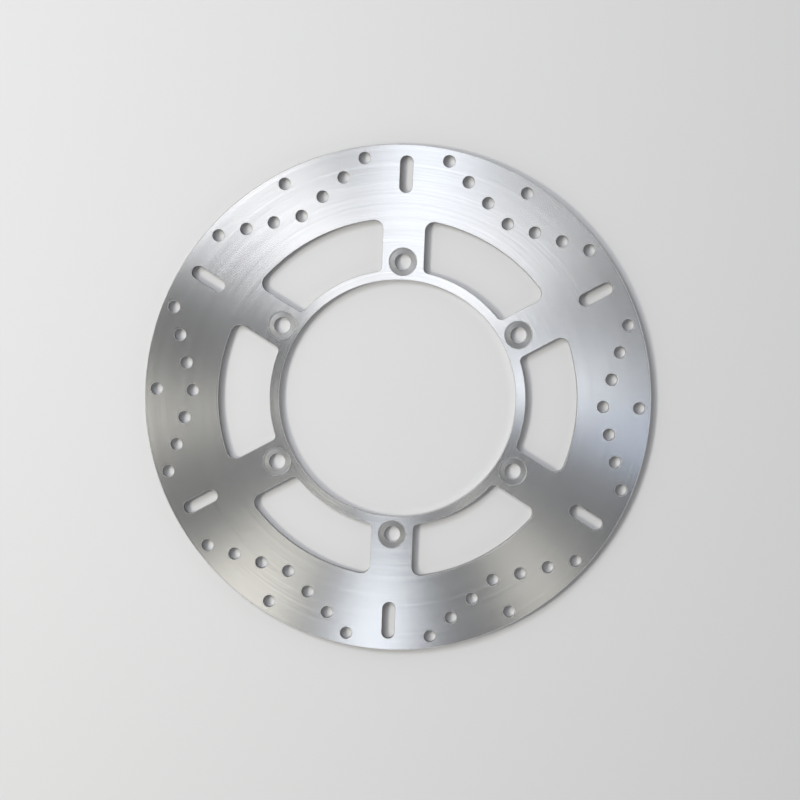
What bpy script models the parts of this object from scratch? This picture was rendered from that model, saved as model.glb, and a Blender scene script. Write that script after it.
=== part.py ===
"""A solid motorcycle brake disc rotor: one flat steel plate, ground on both faces.

The disc lies on its hub face, which is the plane z = 0, with its axis on Z and
one mounting lug pointing along +Y. Everything repeats six times round the axis.
Lengths are in metres and angles are in radians.
"""

import math

import bmesh
import bpy
from mathutils import Vector
from mathutils.geometry import delaunay_2d_cdt

MM = 0.001

# The plate
OUTER_DIAMETER = 282 * MM
BORE_DIAMETER = 132 * MM
THICKNESS = 5 * MM
RIM_CHAMFER = 0.5 * MM
BORE_CHAMFER = 0.4 * MM
SECTORS = 6

# The mounting holes, one in each lug, counterbored from the outer face
BOLT_CIRCLE_DIAMETER = 152 * MM
BOLT_HOLE_DIAMETER = 9 * MM
BOLT_SEAT_DIAMETER = 15.4 * MM
BOLT_SEAT_DEPTH = 1.2 * MM

# The windows between the lugs: their ends run parallel to the lugs' centre lines
LUG_WIDTH = 23.3 * MM
WINDOW_INNER_RADIUS = 71.3 * MM
WINDOW_OUTER_RADIUS = 100 * MM
WINDOW_INNER_CORNER = 3 * MM
WINDOW_OUTER_CORNER = 5 * MM
WINDOW_CHAMFER = 0.4 * MM

# The radial slots in the braking band, one in line with each lug
SLOT_WIDTH = 7.2 * MM
SLOT_LENGTH = 20.5 * MM
SLOT_CENTRE_RADIUS = 124.4 * MM

# The drilled holes: two straight rows climb away from the middle of each sector
DRILL_DIAMETER = 6.7 * MM
ROW_START_RADIUS = 114.4 * MM
ROW_STEP_ACROSS = 15.3 * MM
ROW_STEP_OUT = 4 * MM
HOLES_PER_ROW = 3

# How finely each round edge is divided
RIM_SEGMENTS = 96
BORE_SEGMENTS = 72
WINDOW_ARC_SEGMENTS = 10
CORNER_SEGMENTS = 4
SMALL_HOLE_SEGMENTS = 16
BOLT_HOLE_SEGMENTS = 24
FILL_INSIDE_WITH_HOLES = 2
MERGE_DISTANCE = 0.0001 * MM

SECTOR_ANGLE = math.tau / SECTORS


def arc(centre, radius, start, end, steps):
    """Points along an arc, both ends included. Angles count from +X."""
    turn = (end - start) / steps
    return [
        centre + radius * Vector((math.cos(start + i * turn), math.sin(start + i * turn)))
        for i in range(steps + 1)
    ]


def circle(diameter, segments, centre=(0, 0)):
    return arc(Vector(centre), diameter / 2, 0, math.tau, segments)[:-1]


def slot():
    """A round-ended slot on the +X axis, which points outwards."""
    reach = (SLOT_LENGTH - SLOT_WIDTH) / 2
    half = SMALL_HOLE_SEGMENTS // 2
    outer_centre = Vector((SLOT_CENTRE_RADIUS + reach, 0))
    inner_centre = Vector((SLOT_CENTRE_RADIUS - reach, 0))
    quarter = math.pi / 2
    outer = arc(outer_centre, SLOT_WIDTH / 2, -quarter, quarter, half)
    inner = arc(inner_centre, SLOT_WIDTH / 2, quarter, 3 * quarter, half)
    return outer + inner


def window(grow):
    """A window centred on +X, with every edge moved outwards by grow."""
    inner_radius = WINDOW_INNER_RADIUS - grow
    outer_radius = WINDOW_OUTER_RADIUS + grow
    inner_corner = WINDOW_INNER_CORNER + grow
    outer_corner = WINDOW_OUTER_CORNER + grow
    half_lug = LUG_WIDTH / 2 - grow
    lug_angle = SECTOR_ANGLE / 2
    along = Vector((math.cos(lug_angle), math.sin(lug_angle)))
    away = Vector((along.y, -along.x))

    def corner_centre(radius, distance_from_lug_line):
        reach = math.sqrt(radius**2 - distance_from_lug_line**2)
        return along * reach + away * distance_from_lug_line

    outer = corner_centre(outer_radius - outer_corner, half_lug + outer_corner)
    inner = corner_centre(inner_radius + inner_corner, half_lug + inner_corner)
    outer_end = math.atan2(outer.y, outer.x)
    inner_end = math.atan2(inner.y, inner.x)
    side = lug_angle + math.pi / 2
    upper = arc(outer, outer_corner, outer_end, side, CORNER_SEGMENTS)
    upper += arc(inner, inner_corner, side, inner_end + math.pi, CORNER_SEGMENTS)
    lower = [Vector((p.x, -p.y)) for p in reversed(upper)]
    origin = Vector((0, 0))
    inner_arc = arc(origin, inner_radius, inner_end, -inner_end, WINDOW_ARC_SEGMENTS)
    outer_arc = arc(origin, outer_radius, -outer_end, outer_end, WINDOW_ARC_SEGMENTS)
    return upper + inner_arc[1:-1] + lower + outer_arc[1:-1]


def turned(points, angle):
    """The points turned round the disc's axis."""
    cos, sin = math.cos(angle), math.sin(angle)
    return [Vector((p.x * cos - p.y * sin, p.x * sin + p.y * cos)) for p in points]


def chamfered(edge, opened, chamfer):
    """A wall from the outer face to the hub face, with both of its edges broken."""
    return [
        (opened, THICKNESS),
        (edge, THICKNESS - chamfer),
        (edge, chamfer),
        (opened, 0),
    ]


def straight(edge):
    return [(edge, THICKNESS), (edge, 0)]


def counterbored(centre):
    seat = circle(BOLT_SEAT_DIAMETER, BOLT_HOLE_SEGMENTS, centre)
    hole = circle(BOLT_HOLE_DIAMETER, BOLT_HOLE_SEGMENTS, centre)
    floor = THICKNESS - BOLT_SEAT_DEPTH
    return [(seat, THICKNESS), (seat, floor), (hole, floor), (hole, 0)]


def drill_centres():
    """The drilled holes of the sector centred on +X."""
    centres = [(ROW_START_RADIUS, 0)]
    for step in range(1, HOLES_PER_ROW + 1):
        out = ROW_START_RADIUS + step * ROW_STEP_OUT
        centres += [(out, step * ROW_STEP_ACROSS), (out, -step * ROW_STEP_ACROSS)]
    rows_end = math.hypot(out, HOLES_PER_ROW * ROW_STEP_ACROSS)
    return centres + [(rows_end, 0)]


def sector_walls():
    """The walls of one sector's openings, each as loops with their heights.

    The sector is centred on +X, and its lug is half a sector on from that.
    """
    walls = [chamfered(window(0), window(WINDOW_CHAMFER), WINDOW_CHAMFER)]
    for centre in drill_centres():
        walls.append(straight(circle(DRILL_DIAMETER, SMALL_HOLE_SEGMENTS, centre)))
    lug_walls = [straight(slot()), counterbored((BOLT_CIRCLE_DIAMETER / 2, 0))]
    for wall in lug_walls:
        walls.append([(turned(loop, SECTOR_ANGLE / 2), z) for loop, z in wall])
    return walls


def disc_walls():
    rim = circle(OUTER_DIAMETER, RIM_SEGMENTS)
    rim_face = circle(OUTER_DIAMETER - 2 * RIM_CHAMFER, RIM_SEGMENTS)
    bore = circle(BORE_DIAMETER, BORE_SEGMENTS)
    bore_face = circle(BORE_DIAMETER + 2 * BORE_CHAMFER, BORE_SEGMENTS)
    walls = [
        chamfered(rim, rim_face, RIM_CHAMFER),
        chamfered(bore, bore_face, BORE_CHAMFER),
    ]
    for sector in range(SECTORS):
        angle = sector * SECTOR_ANGLE
        for wall in sector_walls():
            walls.append([(turned(loop, angle), z) for loop, z in wall])
    return walls


def add_wall(mesh, wall):
    """Adds one wall's faces, and returns its first and last loops of vertices."""
    rings = [[mesh.verts.new((p.x, p.y, z)) for p in loop] for loop, z in wall]
    for upper, lower in zip(rings, rings[1:]):
        for i in range(len(upper)):
            mesh.faces.new((upper[i - 1], upper[i], lower[i], lower[i - 1]))
    return rings[0], rings[-1]


def fill_face(mesh, rings):
    """Fills the flat face inside the first loop, the rim, and outside the others."""
    corners = [vertex for ring in rings for vertex in ring]
    outlines = []
    first = 0
    for ring in rings:
        outlines.append(range(first, first + len(ring)))
        first += len(ring)
    flat = [corner.co.to_2d() for corner in corners]
    filled = delaunay_2d_cdt(flat, [], outlines, FILL_INSIDE_WITH_HOLES, MERGE_DISTANCE)
    triangles, sources = filled[2:4]
    for triangle in triangles:
        mesh.faces.new([corners[sources[i][0]] for i in triangle])


def steel():
    material = bpy.data.materials.new("ground_steel")
    material.use_nodes = True
    shader = material.node_tree.nodes["Principled BSDF"]
    shader.inputs["Base Color"].default_value = (0.62, 0.62, 0.63, 1)
    shader.inputs["Metallic"].default_value = 1
    shader.inputs["Roughness"].default_value = 0.28
    return material


def brake_disc():
    mesh = bmesh.new()
    outer_face, hub_face = [], []
    for wall in disc_walls():
        upper, lower = add_wall(mesh, wall)
        outer_face.append(upper)
        hub_face.append(lower)
    fill_face(mesh, outer_face)
    fill_face(mesh, hub_face)
    bmesh.ops.recalc_face_normals(mesh, faces=mesh.faces)
    data = bpy.data.meshes.new("brake_disc")
    mesh.to_mesh(data)
    mesh.free()
    data.shade_smooth()
    data.set_sharp_from_angle(angle=math.radians(30))
    data.materials.append(steel())
    disc = bpy.data.objects.new("brake_disc", data)
    bpy.context.scene.collection.objects.link(disc)
    return disc


def main():
    for old in list(bpy.data.objects):
        bpy.data.objects.remove(old)
    brake_disc()


main()
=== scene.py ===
"""The looks of a one-piece motorcycle brake disc rotor, lying on a pale studio floor.

The disc lies on its hub face at z = 0, with its axis on Z and one mounting lug along +Y.
Lengths are in metres and angles are in radians, unless a name says otherwise.
"""

import math

import bmesh
import bpy
from mathutils import Euler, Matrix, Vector
from mathutils.geometry import delaunay_2d_cdt


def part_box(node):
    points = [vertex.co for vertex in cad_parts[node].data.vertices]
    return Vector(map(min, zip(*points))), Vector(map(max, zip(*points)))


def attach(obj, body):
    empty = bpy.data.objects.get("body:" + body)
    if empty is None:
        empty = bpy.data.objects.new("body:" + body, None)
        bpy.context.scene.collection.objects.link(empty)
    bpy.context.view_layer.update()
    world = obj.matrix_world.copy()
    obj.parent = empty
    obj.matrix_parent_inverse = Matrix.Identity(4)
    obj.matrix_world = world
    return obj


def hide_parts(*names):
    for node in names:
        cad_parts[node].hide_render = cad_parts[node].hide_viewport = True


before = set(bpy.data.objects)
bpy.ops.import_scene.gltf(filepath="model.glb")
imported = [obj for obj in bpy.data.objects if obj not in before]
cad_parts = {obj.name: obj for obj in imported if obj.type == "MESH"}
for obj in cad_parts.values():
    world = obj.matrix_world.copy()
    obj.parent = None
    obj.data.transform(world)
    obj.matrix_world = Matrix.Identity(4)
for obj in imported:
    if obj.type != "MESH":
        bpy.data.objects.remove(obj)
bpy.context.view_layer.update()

MM = 0.001

# The plate: its thickness and its rim come from the frame
plate_low, plate_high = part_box("brake_disc")
THICKNESS = plate_high.z - plate_low.z
RIM_RADIUS = plate_high.x
BORE_RADIUS = 66 * MM
SECTORS = 6
SECTOR_ANGLE = math.tau / SECTORS

# The mounting holes, one in each lug, counterbored from the outer face
BOLT_CIRCLE_RADIUS = 76 * MM
BOLT_HOLE_RADIUS = 4.5 * MM
BOLT_SEAT_RADIUS = 7.7 * MM
BOLT_SEAT_DEPTH = 1.2 * MM

# The windows between the lugs: their ends run parallel to the lugs' centre lines
LUG_WIDTH = 23.3 * MM
WINDOW_INNER_RADIUS = 71.3 * MM
WINDOW_OUTER_RADIUS = 100 * MM
WINDOW_INNER_CORNER = 3 * MM
WINDOW_OUTER_CORNER = 5 * MM

# The radial slots in the braking band, one in line with each lug
SLOT_RADIUS = 3.6 * MM
SLOT_LENGTH = 20.5 * MM
SLOT_CENTRE_RADIUS = 124.4 * MM

# The drilled holes: two straight rows climb away from the middle of each sector
DRILL_RADIUS = 3.35 * MM
ROW_START_RADIUS = 114.4 * MM
ROW_STEP_ACROSS = 15.3 * MM
ROW_STEP_OUT = 4 * MM
HOLES_PER_ROW = 3

# How far each kind of edge is broken
RIM_BREAK = 0.4 * MM
BORE_BREAK = 0.2 * MM
WINDOW_BREAK = 0.2 * MM
DRILL_BREAK = 0.2 * MM
SLOT_BREAK = 0.2 * MM
SEAT_BREAK = 0.25 * MM
SEAT_FILLET = 0.3 * MM
# The shape of a break: 1 is a straight chamfer, and 2 is a quarter of a circle
BREAK_ROUNDNESS = 1.2

# How finely each round edge is divided
RIM_SEGMENTS = 384
BORE_SEGMENTS = 256
WINDOW_ARC_SEGMENTS = 40
CORNER_SEGMENTS = 12
DRILL_SEGMENTS = 48
SLOT_END_SEGMENTS = 24
BOLT_SEGMENTS = 72
BREAK_STEPS = 5
FILL_INSIDE_WITH_HOLES = 2
MERGE_DISTANCE = 0.0001 * MM

# A face is flat if its normal's z is over NEARLY_FLAT, and upright if it is under NEARLY_UPRIGHT
NEARLY_FLAT = 0.9999
NEARLY_UPRIGHT = 0.0001

# The finishes of the steel, in the order of the material slots
FINISHES = ["ground", "bored", "cut", "seat", "broken"]


# ---------------------------------------------------------------- outlines

def arc(centre, radius, start, end, steps):
    """Points along an arc, both ends included. Angles count from +X."""
    turn = (end - start) / steps
    return [
        centre + radius * Vector((math.cos(start + i * turn), math.sin(start + i * turn)))
        for i in range(steps + 1)
    ]


def circle(radius, segments, centre=(0, 0)):
    return arc(Vector(centre), radius, 0, math.tau, segments)[:-1]


def slot(grow):
    """A round-ended slot on the +X axis, with every edge moved outwards by grow."""
    reach = SLOT_LENGTH / 2 - SLOT_RADIUS
    quarter = math.pi / 2
    outer_centre = Vector((SLOT_CENTRE_RADIUS + reach, 0))
    inner_centre = Vector((SLOT_CENTRE_RADIUS - reach, 0))
    radius = SLOT_RADIUS + grow
    outer = arc(outer_centre, radius, -quarter, quarter, SLOT_END_SEGMENTS)
    inner = arc(inner_centre, radius, quarter, 3 * quarter, SLOT_END_SEGMENTS)
    return outer + inner


def window(grow):
    """A window centred on +X, with every edge moved outwards by grow."""
    inner_radius = WINDOW_INNER_RADIUS - grow
    outer_radius = WINDOW_OUTER_RADIUS + grow
    inner_corner = WINDOW_INNER_CORNER + grow
    outer_corner = WINDOW_OUTER_CORNER + grow
    half_lug = LUG_WIDTH / 2 - grow
    lug_angle = SECTOR_ANGLE / 2
    along = Vector((math.cos(lug_angle), math.sin(lug_angle)))
    away = Vector((along.y, -along.x))

    def corner_centre(radius, distance_from_lug_line):
        reach = math.sqrt(radius**2 - distance_from_lug_line**2)
        return along * reach + away * distance_from_lug_line

    outer = corner_centre(outer_radius - outer_corner, half_lug + outer_corner)
    inner = corner_centre(inner_radius + inner_corner, half_lug + inner_corner)
    outer_end = math.atan2(outer.y, outer.x)
    inner_end = math.atan2(inner.y, inner.x)
    side = lug_angle + math.pi / 2
    upper = arc(outer, outer_corner, outer_end, side, CORNER_SEGMENTS)
    upper += arc(inner, inner_corner, side, inner_end + math.pi, CORNER_SEGMENTS)
    lower = [Vector((p.x, -p.y)) for p in reversed(upper)]
    origin = Vector((0, 0))
    inner_arc = arc(origin, inner_radius, inner_end, -inner_end, WINDOW_ARC_SEGMENTS)
    outer_arc = arc(origin, outer_radius, -outer_end, outer_end, WINDOW_ARC_SEGMENTS)
    return upper + inner_arc[1:-1] + lower + outer_arc[1:-1]


def turned(points, angle):
    """The points turned round the disc's axis."""
    cos, sin = math.cos(angle), math.sin(angle)
    return [Vector((p.x * cos - p.y * sin, p.x * sin + p.y * cos)) for p in points]


def drill_centres():
    """The drilled holes of the sector centred on +X."""
    centres = [(ROW_START_RADIUS, 0)]
    for step in range(1, HOLES_PER_ROW + 1):
        out = ROW_START_RADIUS + step * ROW_STEP_OUT
        centres += [(out, step * ROW_STEP_ACROSS), (out, -step * ROW_STEP_ACROSS)]
    rows_end = math.hypot(out, HOLES_PER_ROW * ROW_STEP_ACROSS)
    return centres + [(rows_end, 0)]


# ------------------------------------------------------------------- walls

def broken_edge(size):
    """(outwards, down) steps across an edge break: a chamfer whose corners are worn round."""
    steps = []
    for i in range(BREAK_STEPS + 1):
        angle = i / BREAK_STEPS * math.pi / 2
        outwards = 1 - math.sin(angle) ** (2 / BREAK_ROUNDNESS)
        down = 1 - math.cos(angle) ** (2 / BREAK_ROUNDNESS)
        steps.append((outwards * size, down * size))
    return steps


def through(outline, size):
    """A wall right through the plate. outline(grow) gives its loop, moved outwards by grow."""
    edge = broken_edge(size)
    top = [(outline(grow), THICKNESS - down) for grow, down in edge]
    bottom = [(outline(grow), up) for grow, up in edge]
    return top + bottom[::-1]


def counterbored(centre):
    """A bolt's seat and its hole, from the outer face to the hub face."""
    def ring(radius):
        return circle(radius, BOLT_SEGMENTS, centre)

    floor = THICKNESS - BOLT_SEAT_DEPTH
    edge = broken_edge(SEAT_BREAK)
    fillet = broken_edge(SEAT_FILLET)
    mouth = [(ring(BOLT_SEAT_RADIUS + grow), THICKNESS - down) for grow, down in edge]
    foot = [(ring(BOLT_SEAT_RADIUS - shrink), floor + up) for shrink, up in fillet]
    hole = [(ring(BOLT_HOLE_RADIUS + grow), floor - down) for grow, down in edge]
    way_out = [(ring(BOLT_HOLE_RADIUS + grow), up) for grow, up in edge]
    return mouth + foot[::-1] + hole + way_out[::-1]


def sector_walls():
    """The walls of the sector centred on +X, each with its finish. Its lug is half a sector on."""
    def drilled(centre):
        return lambda grow: circle(DRILL_RADIUS + grow, DRILL_SEGMENTS, centre)

    walls = [("cut", through(window, WINDOW_BREAK))]
    walls += [("bored", through(drilled(centre), DRILL_BREAK)) for centre in drill_centres()]
    lug_walls = [("cut", through(slot, SLOT_BREAK)), ("bored", counterbored((BOLT_CIRCLE_RADIUS, 0)))]
    for finish, wall in lug_walls:
        walls.append((finish, [(turned(loop, SECTOR_ANGLE / 2), z) for loop, z in wall]))
    return walls


def disc_walls():
    """Every wall of the disc, the rim's first. A break at the rim goes inwards, towards the metal."""
    rim = through(lambda grow: circle(RIM_RADIUS - grow, RIM_SEGMENTS), RIM_BREAK)
    bore = through(lambda grow: circle(BORE_RADIUS + grow, BORE_SEGMENTS), BORE_BREAK)
    walls = [("cut", rim), ("bored", bore)]
    for sector in range(SECTORS):
        angle = sector * SECTOR_ANGLE
        for finish, wall in sector_walls():
            walls.append((finish, [(turned(loop, angle), z) for loop, z in wall]))
    return walls


def finish_of(face, wall_finish):
    """A wall's upright bands have its own finish, its flat ones are bolt seats, and the rest are
    broken edges."""
    face.normal_update()
    if abs(face.normal.z) > NEARLY_FLAT:
        return "seat"
    if abs(face.normal.z) < NEARLY_UPRIGHT:
        return wall_finish
    return "broken"


def add_wall(mesh, wall_finish, wall):
    """Adds one wall's faces, and returns its first and last loops of vertices."""
    centre_layer = mesh.faces.layers.float_vector["turning_centre"]
    rings = [[mesh.verts.new((p.x, p.y, z)) for p in loop] for loop, z in wall]
    centre = sum((vertex.co for vertex in rings[0]), Vector()) / len(rings[0])
    for upper, lower in zip(rings, rings[1:]):
        for i in range(len(upper)):
            face = mesh.faces.new((upper[i - 1], upper[i], lower[i], lower[i - 1]))
            face.material_index = FINISHES.index(finish_of(face, wall_finish))
            face[centre_layer] = centre
    return rings[0], rings[-1]


def fill_face(mesh, rings):
    """Fills the flat face inside the first loop, the rim, and outside the others. Its triangles
    keep the first finish, ground."""
    corners = [vertex for ring in rings for vertex in ring]
    outlines = []
    first = 0
    for ring in rings:
        outlines.append(range(first, first + len(ring)))
        first += len(ring)
    flat = [corner.co.to_2d() for corner in corners]
    filled = delaunay_2d_cdt(flat, [], outlines, FILL_INSIDE_WITH_HOLES, MERGE_DISTANCE)
    triangles, sources = filled[2:4]
    for triangle in triangles:
        mesh.faces.new([corners[sources[i][0]] for i in triangle])


def brake_disc(materials):
    """The whole rotor. Only the edges between a flat face and a wall are sharp."""
    mesh = bmesh.new()
    mesh.faces.layers.float_vector.new("turning_centre")
    outer_face, hub_face = [], []
    for finish, wall in disc_walls():
        upper, lower = add_wall(mesh, finish, wall)
        outer_face.append(upper)
        hub_face.append(lower)
    fill_face(mesh, outer_face)
    fill_face(mesh, hub_face)
    bmesh.ops.recalc_face_normals(mesh, faces=mesh.faces)
    for face in mesh.faces:
        face.smooth = True
    for edge in mesh.edges:
        flats = [abs(face.normal.z) > NEARLY_FLAT for face in edge.link_faces]
        edge.smooth = flats[0] == flats[1]
    data = bpy.data.meshes.new("brake_disc_rotor")
    mesh.to_mesh(data)
    mesh.free()
    for material in materials:
        data.materials.append(material)
    disc = bpy.data.objects.new("brake_disc_rotor", data)
    bpy.context.scene.collection.objects.link(disc)
    return disc


# --------------------------------------------------------------- materials

# Where a noise factor mostly lies
NOISE_RANGE = (0.3, 0.7)
NOISE_ROUGHNESS = 0.6
# How many ripples of a cut there are to a metre along X, Y and Z: each is narrow and tall
RIPPLES_PER_METRE = (3500, 3500, 250)
# Anisotropic Rotation counts in turns
QUARTER_TURN = 0.25
DISC_CENTRE = (0, 0, 0)
UP = (0, 0, 1)


def add(tree, kind, inputs=None, **settings):
    """Adds a shader node. Of its inputs, a socket is linked and any other value is set."""
    made = tree.nodes.new("ShaderNode" + kind)
    for name, value in settings.items():
        setattr(made, name, value)
    for name, value in (inputs or {}).items():
        if isinstance(value, bpy.types.NodeSocket):
            tree.links.new(value, made.inputs[name])
        else:
            made.inputs[name].default_value = value
    return made


def vector_math(tree, operation, first, second=(0, 0, 0)):
    made = add(tree, "VectorMath", {0: first, 1: second}, operation=operation)
    return made.outputs["Value" if operation in ("LENGTH", "DOT_PRODUCT") else "Vector"]


def number_math(tree, operation, first, second):
    return add(tree, "Math", {0: first, 1: second}, operation=operation).outputs["Value"]


def from_to(tree, factor, low, high):
    """A value that goes from low to high as a noise factor goes through its usual range."""
    limits = {"From Min": NOISE_RANGE[0], "From Max": NOISE_RANGE[1], "To Min": low, "To Max": high}
    return add(tree, "MapRange", {"Value": factor, **limits}).outputs["Result"]


def ramp(tree, factor, low, high):
    """A colour that goes from low to high as a noise factor goes through its usual range."""
    made = add(tree, "ValToRGB", {"Fac": factor})
    for element, position, colour in zip(made.color_ramp.elements, NOISE_RANGE, (low, high)):
        element.position = position
        element.color = (*colour, 1)
    return made.outputs["Color"]


def noise(tree, vector, detail=2):
    inputs = {"Vector": vector, "Scale": 1.0, "Detail": detail, "Roughness": NOISE_ROUGHNESS}
    return add(tree, "TexNoise", inputs).outputs["Fac"]


def from_axis(tree, centre):
    """The level vector to each point of the surface from the upright axis through centre."""
    place = add(tree, "TexCoord").outputs["Object"]
    return vector_math(tree, "MULTIPLY", vector_math(tree, "SUBTRACT", place, centre), (1, 1, 0))


def from_own_axis(tree):
    """The level vector to each point of a round wall or a seat from the axis it was turned about."""
    return from_axis(tree, add(tree, "Attribute", attribute_name="turning_centre").outputs["Vector"])


def turned_marks(tree, level, pitch, breaks, detail=2):
    """Noise drawn out round an axis: it changes every pitch away from the axis or along it,
    and about six times breaks in a turn round it. level is what from_axis gives."""
    outwards = vector_math(tree, "NORMALIZE", level)
    round_axis = vector_math(tree, "MULTIPLY", outwards, (breaks, breaks, breaks))
    place = add(tree, "TexCoord").outputs["Object"]
    up = vector_math(tree, "DOT_PRODUCT", place, (0, 0, 1 / pitch))
    away = number_math(tree, "MULTIPLY", vector_math(tree, "LENGTH", level), 1 / pitch)
    stripe = add(tree, "CombineXYZ", {"Z": number_math(tree, "ADD", away, up)}).outputs["Vector"]
    return noise(tree, vector_math(tree, "ADD", round_axis, stripe), detail)


def bump(tree, height, depth):
    return add(tree, "Bump", {"Height": height, "Strength": 1.0, "Distance": depth}).outputs["Normal"]


def steel(name):
    material = bpy.data.materials.new(name)
    material.use_nodes = True
    shader = material.node_tree.nodes["Principled BSDF"]
    shader.inputs["Metallic"].default_value = 1
    return material, material.node_tree, shader


def connect(tree, shader, sockets):
    for name, socket in sockets.items():
        tree.links.new(socket, shader.inputs[name])


def spread_gloss(shader, strength):
    """Spreads the gloss across the marks, by this much. The tangent runs along them."""
    shader.inputs["Anisotropic"].default_value = strength
    shader.inputs["Anisotropic Rotation"].default_value = QUARTER_TURN


def ground_steel():
    """The two faces: long fine marks of the grinding wheel round the disc's axis."""
    material, tree, shader = steel("ground_steel")
    level = from_axis(tree, DISC_CENTRE)
    fine = turned_marks(tree, level, pitch=0.3 * MM, breaks=3)
    broad = turned_marks(tree, level, pitch=1.1 * MM, breaks=0.4)
    mean = number_math(tree, "MULTIPLY", number_math(tree, "ADD", fine, broad), 0.5)
    connect(tree, shader, {
        "Base Color": ramp(tree, mean, low=(0.56, 0.56, 0.565), high=(0.70, 0.70, 0.705)),
        "Roughness": from_to(tree, mean, low=0.172, high=0.19),
        "Normal": bump(tree, fine, depth=0.002 * MM),
        "Tangent": add(tree, "Tangent", direction_type="RADIAL", axis="Z").outputs["Tangent"],
    })
    spread_gloss(shader, strength=0.78)
    return material


def bored_steel():
    """The bore and the round holes: fine rings left by the tool's feed."""
    material, tree, shader = steel("bored_steel")
    marks = turned_marks(tree, from_own_axis(tree), pitch=0.15 * MM, breaks=4)
    connect(tree, shader, {
        "Base Color": ramp(tree, marks, low=(0.50, 0.50, 0.50), high=(0.64, 0.64, 0.645)),
        "Roughness": from_to(tree, marks, low=0.3, high=0.42),
        "Normal": bump(tree, marks, depth=0.01 * MM),
    })
    return material


def cut_steel():
    """The walls of the rim, the windows and the slots: upright ripples left by the cutting beam."""
    material, tree, shader = steel("cut_steel")
    place = add(tree, "TexCoord").outputs["Object"]
    ripples = noise(tree, vector_math(tree, "MULTIPLY", place, RIPPLES_PER_METRE))
    connect(tree, shader, {
        "Base Color": ramp(tree, ripples, low=(0.26, 0.258, 0.252), high=(0.40, 0.397, 0.39)),
        "Roughness": from_to(tree, ripples, low=0.34, high=0.5),
        "Normal": bump(tree, ripples, depth=0.03 * MM),
    })
    return material


def turned_seat():
    """The counterbores' floors: turned rings, each set round its own bolt hole, with painted shade
    that darkens them below the faces.
    """
    material, tree, shader = steel("turned_seat")
    level = from_own_axis(tree)
    marks = turned_marks(tree, level, pitch=0.2 * MM, breaks=1)
    connect(tree, shader, {
        # The dark base colour is painted shade: it makes the recessed seats dimmer than the faces
        "Base Color": ramp(tree, marks, low=(0.29, 0.29, 0.29), high=(0.39, 0.39, 0.395)),
        "Roughness": from_to(tree, marks, low=0.34, high=0.42),
        "Normal": bump(tree, marks, depth=0.006 * MM),
        "Tangent": vector_math(tree, "CROSS_PRODUCT", UP, level),
    })
    spread_gloss(shader, strength=0.5)
    return material


def broken_steel():
    """The broken edges: brighter than the faces, partly for their burnish and partly as a painted
    highlight, with a gloss that spreads evenly.
    """
    material, tree, shader = steel("broken_edge_steel")
    marks = turned_marks(tree, from_axis(tree, DISC_CENTRE), pitch=0.4 * MM, breaks=12, detail=3)
    connect(tree, shader, {
        # The bright base colour is partly a painted highlight: it stands for the glints along the
        # edges, and partly the edges' burnish
        "Base Color": ramp(tree, marks, low=(0.62, 0.62, 0.62), high=(0.76, 0.76, 0.76)),
        "Roughness": from_to(tree, marks, low=0.22, high=0.34),
    })
    return material


# ------------------------------------------------------------------- floor

FLOOR_HALF_WIDTH = 1.1
FLOOR_DROP = 0.05 * MM
FLOOR_COLOUR = (0.685, 0.685, 0.70, 1)
FLOOR_ROUGHNESS = 0.9


def plain_floor():
    """The floor, just below the hub face so that the two never share a plane."""
    material = bpy.data.materials.new("floor")
    material.use_nodes = True
    shader = material.node_tree.nodes["Principled BSDF"]
    shader.inputs["Base Color"].default_value = FLOOR_COLOUR
    shader.inputs["Roughness"].default_value = FLOOR_ROUGHNESS
    mesh = bmesh.new()
    bmesh.ops.create_grid(mesh, x_segments=1, y_segments=1, size=FLOOR_HALF_WIDTH)
    data = bpy.data.meshes.new("floor")
    mesh.to_mesh(data)
    mesh.free()
    data.materials.append(material)
    floor = bpy.data.objects.new("floor", data)
    bpy.context.scene.collection.objects.link(floor)
    floor.location.z = -FLOOR_DROP


# ------------------------------------------------------------------ studio

# The camera looks down on the outer face, tilted a little off the disc's axis
CAMERA_DISTANCE = 1.0
CAMERA_LENS_MM = 80.84
CAMERA_SENSOR_MM = 36
CAMERA_TARGET = Vector((1.52 * MM, -0.78 * MM, THICKNESS))
CAMERA_ROTATION_DEG = (-2.405, 1.199, 2.315)


def camera():
    data = bpy.data.cameras.new("camera")
    data.lens = CAMERA_LENS_MM
    data.sensor_width = CAMERA_SENSOR_MM
    made = bpy.data.objects.new("camera", data)
    tilt = Euler([math.radians(a) for a in CAMERA_ROTATION_DEG], "XYZ")
    made.rotation_euler = tilt
    back = tilt.to_matrix() @ Vector((0, 0, 1))
    made.location = CAMERA_TARGET + back * CAMERA_DISTANCE
    bpy.context.scene.collection.objects.link(made)
    bpy.context.scene.camera = made


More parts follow.
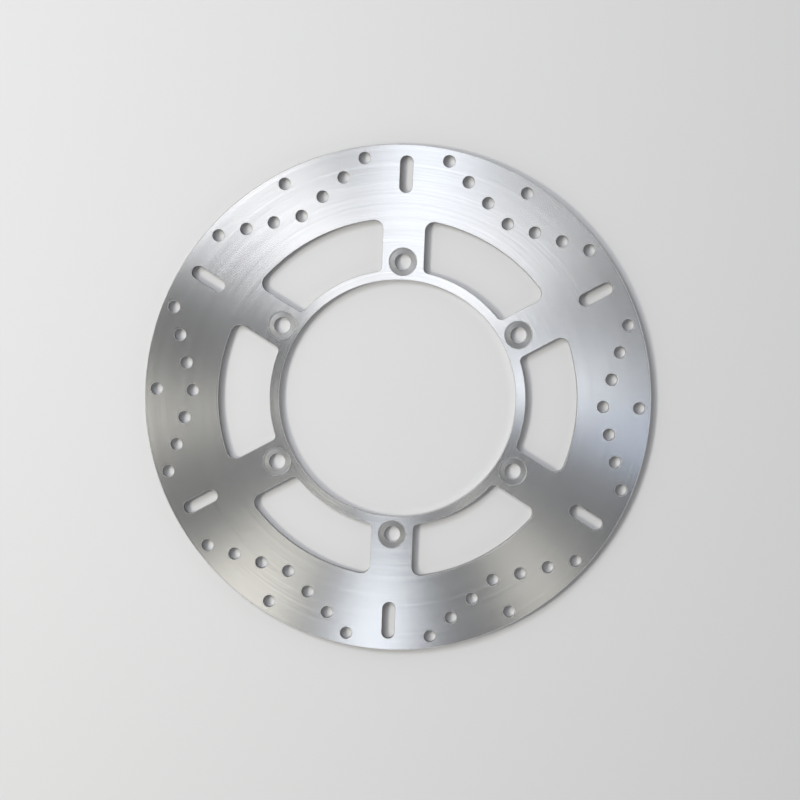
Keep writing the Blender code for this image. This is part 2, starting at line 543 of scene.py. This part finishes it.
# The softboxes, all SOFTBOX_DISTANCE from the middle of the disc and turned to face it. Each has the
# bearing it stands at (0 is +Y and 90 is +X) and its lean from overhead, both in degrees, then its
# width and height in metres, its brightness, and its tint. A softbox's watts are its brightness times
# its area times pi.
SOFTBOX_DISTANCE = 1.6
WHITE = (0.97, 0.98, 1)
COOL = (0.88, 0.93, 1)
BLUE = (0.63, 0.76, 1)
WARM = (1, 0.97, 0.86)
SOFTBOXES = {
    "key": (260, 38, 0.24, 0.30, 38, WARM),
    "key_spill": (260, 38, 0.90, 0.30, 2.3, WARM),
    "upper_left": (314, 33, 0.45, 0.80, 6.8, WHITE),
    "left": (306, 42, 0.40, 0.30, 10, COOL),
    "top": (0, 18, 0.17, 0.80, 1.6, COOL),
    "overhead_top": (39, 4, 0.13, 0.20, 2.7, WHITE),
    "overhead_left": (314, 6, 0.14, 0.20, 2.5, WHITE),
    "overhead_right": (104, 5, 0.06, 0.20, 4.5, COOL),
    "right": (107, 16, 0.11, 0.25, 1.2, BLUE),
    "lower_right": (151, 14, 0.10, 0.20, 1.3, WARM),
    "bottom": (187, 15, 0.11, 0.20, 3.3, COOL),
    "lower_left": (214, 20, 0.16, 0.45, 1.5, WARM),
}
# The studio's walls are pale, a little darker at their foot, and its ceiling is dark. Heights are
# sines of the elevation.
WALL_FOOT_BRIGHTNESS = 0.45
WALL_BRIGHTNESS = 0.6
CEILING_BRIGHTNESS = 0.14
WALL_FOOT_TOP = 0.15
WALL_TOP = 0.45
CEILING_EDGE = 0.75


def softbox(name, bearing, lean, width, height, brightness, tint):
    data = bpy.data.lights.new(name, "AREA")
    data.shape = "RECTANGLE"
    data.size = width
    data.size_y = height
    data.energy = brightness * width * height * math.pi
    data.color = tint
    made = bpy.data.objects.new(name, data)
    turn = Euler((math.radians(-lean), 0, math.radians(-bearing)), "XYZ")
    made.rotation_euler = turn
    made.location = turn.to_matrix() @ Vector((0, 0, SOFTBOX_DISTANCE))
    made.visible_camera = False
    bpy.context.scene.collection.objects.link(made)


def walls_and_ceiling():
    """The world, whose brightness goes with the height of the direction looked in."""
    world = bpy.data.worlds.new("studio")
    world.use_nodes = True
    tree = world.node_tree
    direction = add(tree, "TexCoord").outputs["Generated"]
    height = add(tree, "SeparateXYZ", {"Vector": direction}).outputs["Z"]

    def graded(start, end, first, last):
        limits = {"From Min": start, "From Max": end, "To Min": first, "To Max": last}
        return add(tree, "MapRange", {"Value": height, **limits}).outputs["Result"]

    foot = graded(0, WALL_FOOT_TOP, WALL_FOOT_BRIGHTNESS, WALL_BRIGHTNESS)
    top = graded(WALL_TOP, CEILING_EDGE, WALL_BRIGHTNESS, CEILING_BRIGHTNESS)
    background = tree.nodes["Background"]
    background.inputs["Color"].default_value = (1, 1, 1, 1)
    tree.links.new(number_math(tree, "MINIMUM", foot, top), background.inputs["Strength"])
    bpy.context.scene.world = world


def lights():
    for name, settings in SOFTBOXES.items():
        softbox(name, *settings)


def main():
    disc = brake_disc([ground_steel(), bored_steel(), cut_steel(), turned_seat(), broken_steel()])
    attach(disc, "root")
    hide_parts("brake_disc")
    plain_floor()
    camera()
    walls_and_ceiling()
    lights()
    bpy.context.scene.view_settings.view_transform = "Standard"


main()
